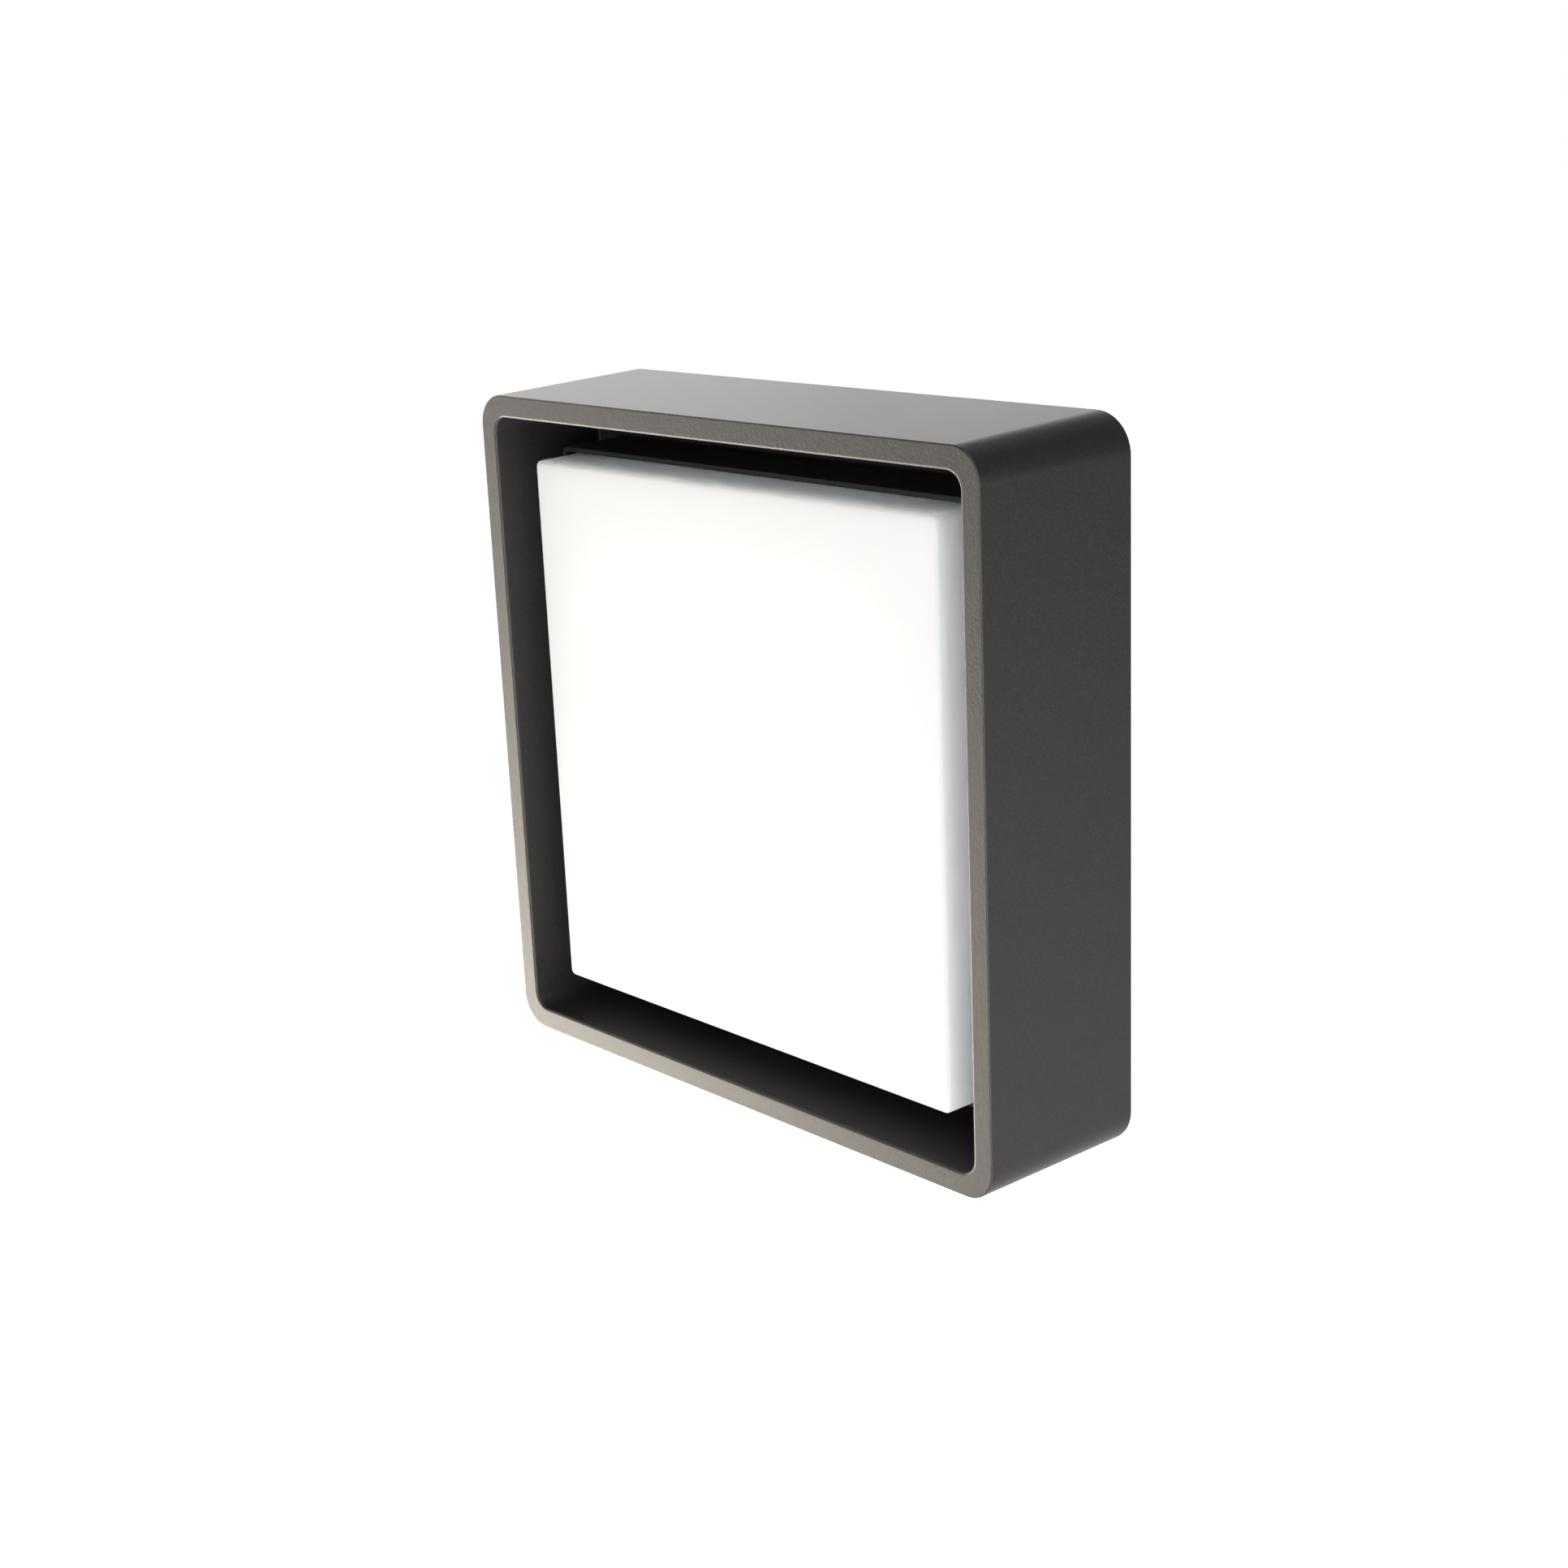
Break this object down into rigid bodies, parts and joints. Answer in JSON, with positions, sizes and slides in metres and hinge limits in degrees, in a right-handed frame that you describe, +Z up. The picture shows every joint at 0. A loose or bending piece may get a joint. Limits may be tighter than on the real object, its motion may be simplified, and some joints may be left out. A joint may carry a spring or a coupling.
{
  "type": "outdoor wall lantern",
  "caption": "Square surface-mounted outdoor wall light: a deep drafted cast frame round a recessed opal cover, on a separate wall plate.",
  "frame": {"origin": "middle of the flat back of the mounting plate, which lies on the wall", "axes": "+Y into the wall, so the light faces -Y; +Z up; +X to the right seen from the front"},
  "size_m": [0.2306, 0.0635, 0.2306],
  "materials": {
    "powder_coat": "die-cast aluminium with a fine-textured anthracite powder coat",
    "opal_polycarbonate": "satin opal moulding",
    "galvanised_steel": "galvanised sheet",
    "zinc_plated_steel": "bright zinc plating",
    "stainless_steel": "stainless",
    "black_rubber": "EPDM rubber",
    "white_silicone": "silicone",
    "thermal_pad": "soft gap filler",
    "board_white": "aluminium-core board with white solder mask",
    "led_phosphor": "silicone with phosphor",
    "white_film": "white reflector film",
    "white_plastic": "moulded",
    "board_green": "glass-fibre board with green solder mask",
    "transformer_tape": "ferrite and tape",
    "capacitor_can": "sleeved can",
    "grey_plastic": "moulded",
    "orange_plastic": "moulded",
    "black_plastic": "moulded",
    "brown_insulation": "silicone sleeve",
    "blue_insulation": "silicone sleeve",
    "earth_insulation": "green and yellow sleeve",
    "red_insulation": "silicone sleeve",
    "black_insulation": "silicone sleeve"
  },
  "bodies": {
    "wall_base": {"mounting_plate": "galvanised_steel", "wall_gasket": "black_rubber", "body_gasket": "white_silicone", "cable_grommet": "black_rubber", "blank_grommet": "black_rubber"},
    "lamp_body": {"housing": "powder_coat", "board_screw_1": "zinc_plated_steel", "board_screw_2": "zinc_plated_steel", "board_screw_3": "zinc_plated_steel", "board_screw_4": "zinc_plated_steel", "diffuser_screw_1": "zinc_plated_steel", "diffuser_screw_2": "zinc_plated_steel", "diffuser_screw_3": "zinc_plated_steel", "diffuser_screw_4": "zinc_plated_steel", "driver_screw_1": "zinc_plated_steel", "driver_screw_2": "zinc_plated_steel", "clamp_screw_1": "zinc_plated_steel", "clamp_screw_2": "zinc_plated_steel", "earth_screw": "zinc_plated_steel", "earth_lug": "zinc_plated_steel", "deck_grommet": "black_rubber", "diffuser_gasket": "white_silicone", "thermal_pad": "thermal_pad", "led_board": "board_white", "led_01": "led_phosphor", "led_02": "led_phosphor", "led_03": "led_phosphor", "led_04": "led_phosphor", "led_05": "led_phosphor", "led_06": "led_phosphor", "led_07": "led_phosphor", "led_08": "led_phosphor", "led_09": "led_phosphor", "led_10": "led_phosphor", "led_11": "led_phosphor", "led_12": "led_phosphor", "led_13": "led_phosphor", "led_14": "led_phosphor", "led_15": "led_phosphor", "led_16": "led_phosphor", "reflector_sheet": "white_film", "board_connector": "white_plastic", "driver_case": "white_plastic", "driver_lid": "white_plastic", "driver_circuit_board": "board_green", "transformer": "transformer_tape", "input_capacitor": "capacitor_can", "terminal_block": "grey_plastic", "cable_clamp": "black_plastic", "live_lead": "brown_insulation", "neutral_lead": "blue_insulation", "earth_lead": "earth_insulation", "plus_lead": "red_insulation", "minus_lead": "black_insulation"},
    "diffuser_cover": {"diffuser": "opal_polycarbonate"},
    "live_button": {"terminal_button_live": "orange_plastic"},
    "neutral_button": {"terminal_button_neutral": "orange_plastic"},
    "earth_button": {"terminal_button_earth": "orange_plastic"},
    "left_lock_screw": {"lock_screw_left": "stainless_steel"},
    "right_lock_screw": {"lock_screw_right": "stainless_steel"}
  },
  "joints": [
    {"name": "lamp_lift_off", "type": "slide", "parent": "wall_base", "child": "lamp_body", "axis": [0, -1, 0], "range_m": [0, 0.09]},
    {"name": "diffuser_cover_out", "type": "slide", "parent": "lamp_body", "child": "diffuser_cover", "axis": [0, -1, 0], "range_m": [0, 0.045]},
    {"name": "live_button_press", "type": "slide", "parent": "lamp_body", "child": "live_button", "axis": [0, -1, 0], "range_m": [0, 0.0015], "stiffness_N_per_m": 1500, "springref_m": -0.002},
    {"name": "neutral_button_press", "type": "slide", "parent": "lamp_body", "child": "neutral_button", "axis": [0, -1, 0], "range_m": [0, 0.0015], "stiffness_N_per_m": 1500, "springref_m": -0.002},
    {"name": "earth_button_press", "type": "slide", "parent": "lamp_body", "child": "earth_button", "axis": [0, -1, 0], "range_m": [0, 0.0015], "stiffness_N_per_m": 1500, "springref_m": -0.002},
    {"name": "left_lock_screw_out", "type": "slide", "parent": "lamp_body", "child": "left_lock_screw", "axis": [0, 0, -1], "range_m": [0, 0.004]},
    {"name": "right_lock_screw_out", "type": "slide", "parent": "lamp_body", "child": "right_lock_screw", "axis": [0, 0, -1], "range_m": [0, 0.004]}
  ]
}
